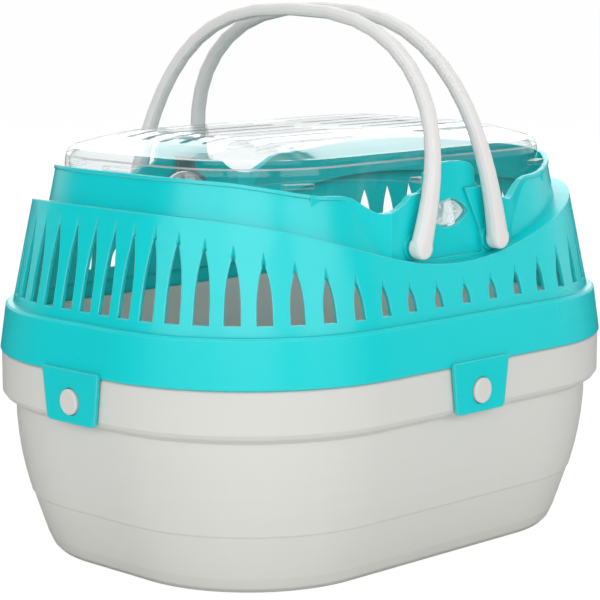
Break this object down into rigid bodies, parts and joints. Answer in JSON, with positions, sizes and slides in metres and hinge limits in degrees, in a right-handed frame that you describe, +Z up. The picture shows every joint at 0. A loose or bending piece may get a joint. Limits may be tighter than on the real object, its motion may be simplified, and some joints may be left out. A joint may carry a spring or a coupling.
{
  "type": "small animal carrier",
  "caption": "Small-animal carrier with a grey tub, a vented turquoise upper shell, a clear slitted lid held by latch buttons, and bail handles that fold out.",
  "frame": {"origin": "middle of the flat base, on the surface that the carrier stands on", "axes": "+X along the length, +Y to the rear long side, +Z up; the front long side faces -Y"},
  "size_m": [0.3068, 0.2318, 0.2615],
  "materials": {
    "tub": "satin",
    "shell": "satin gloss",
    "clear": "clear, polished",
    "handle": "satin"
  },
  "bodies": {
    "body": {"base_tub": "tub", "upper_shell": "shell"},
    "lid": {"lid": "clear"},
    "front_latch": {"front_latch": "clear"},
    "rear_latch": {"rear_latch": "clear"},
    "handle_left": {"handle_left": "handle"},
    "handle_right": {"handle_right": "handle"}
  },
  "joints": [
    {"name": "handle_left_swing", "type": "hinge", "parent": "body", "child": "handle_left", "pos_m": [-0.027, 0, 0.153], "axis": [0, -1, 0], "range_deg": [-2.5, 85]},
    {"name": "handle_right_swing", "type": "hinge", "parent": "body", "child": "handle_right", "pos_m": [0.027, 0, 0.153], "axis": [0, 1, 0], "range_deg": [-2.5, 85]},
    {"name": "lid_lift", "type": "slide", "parent": "body", "child": "lid", "axis": [0, 0, 1], "range_m": [0, 0.028]},
    {"name": "front_latch_press", "type": "slide", "parent": "lid", "child": "front_latch", "axis": [0, 1, 0], "range_m": [0, 0.0025], "stiffness_N_per_m": 400, "springref_m": -0.001},
    {"name": "rear_latch_press", "type": "slide", "parent": "lid", "child": "rear_latch", "axis": [0, -1, 0], "range_m": [0, 0.0025], "stiffness_N_per_m": 400, "springref_m": -0.001}
  ]
}
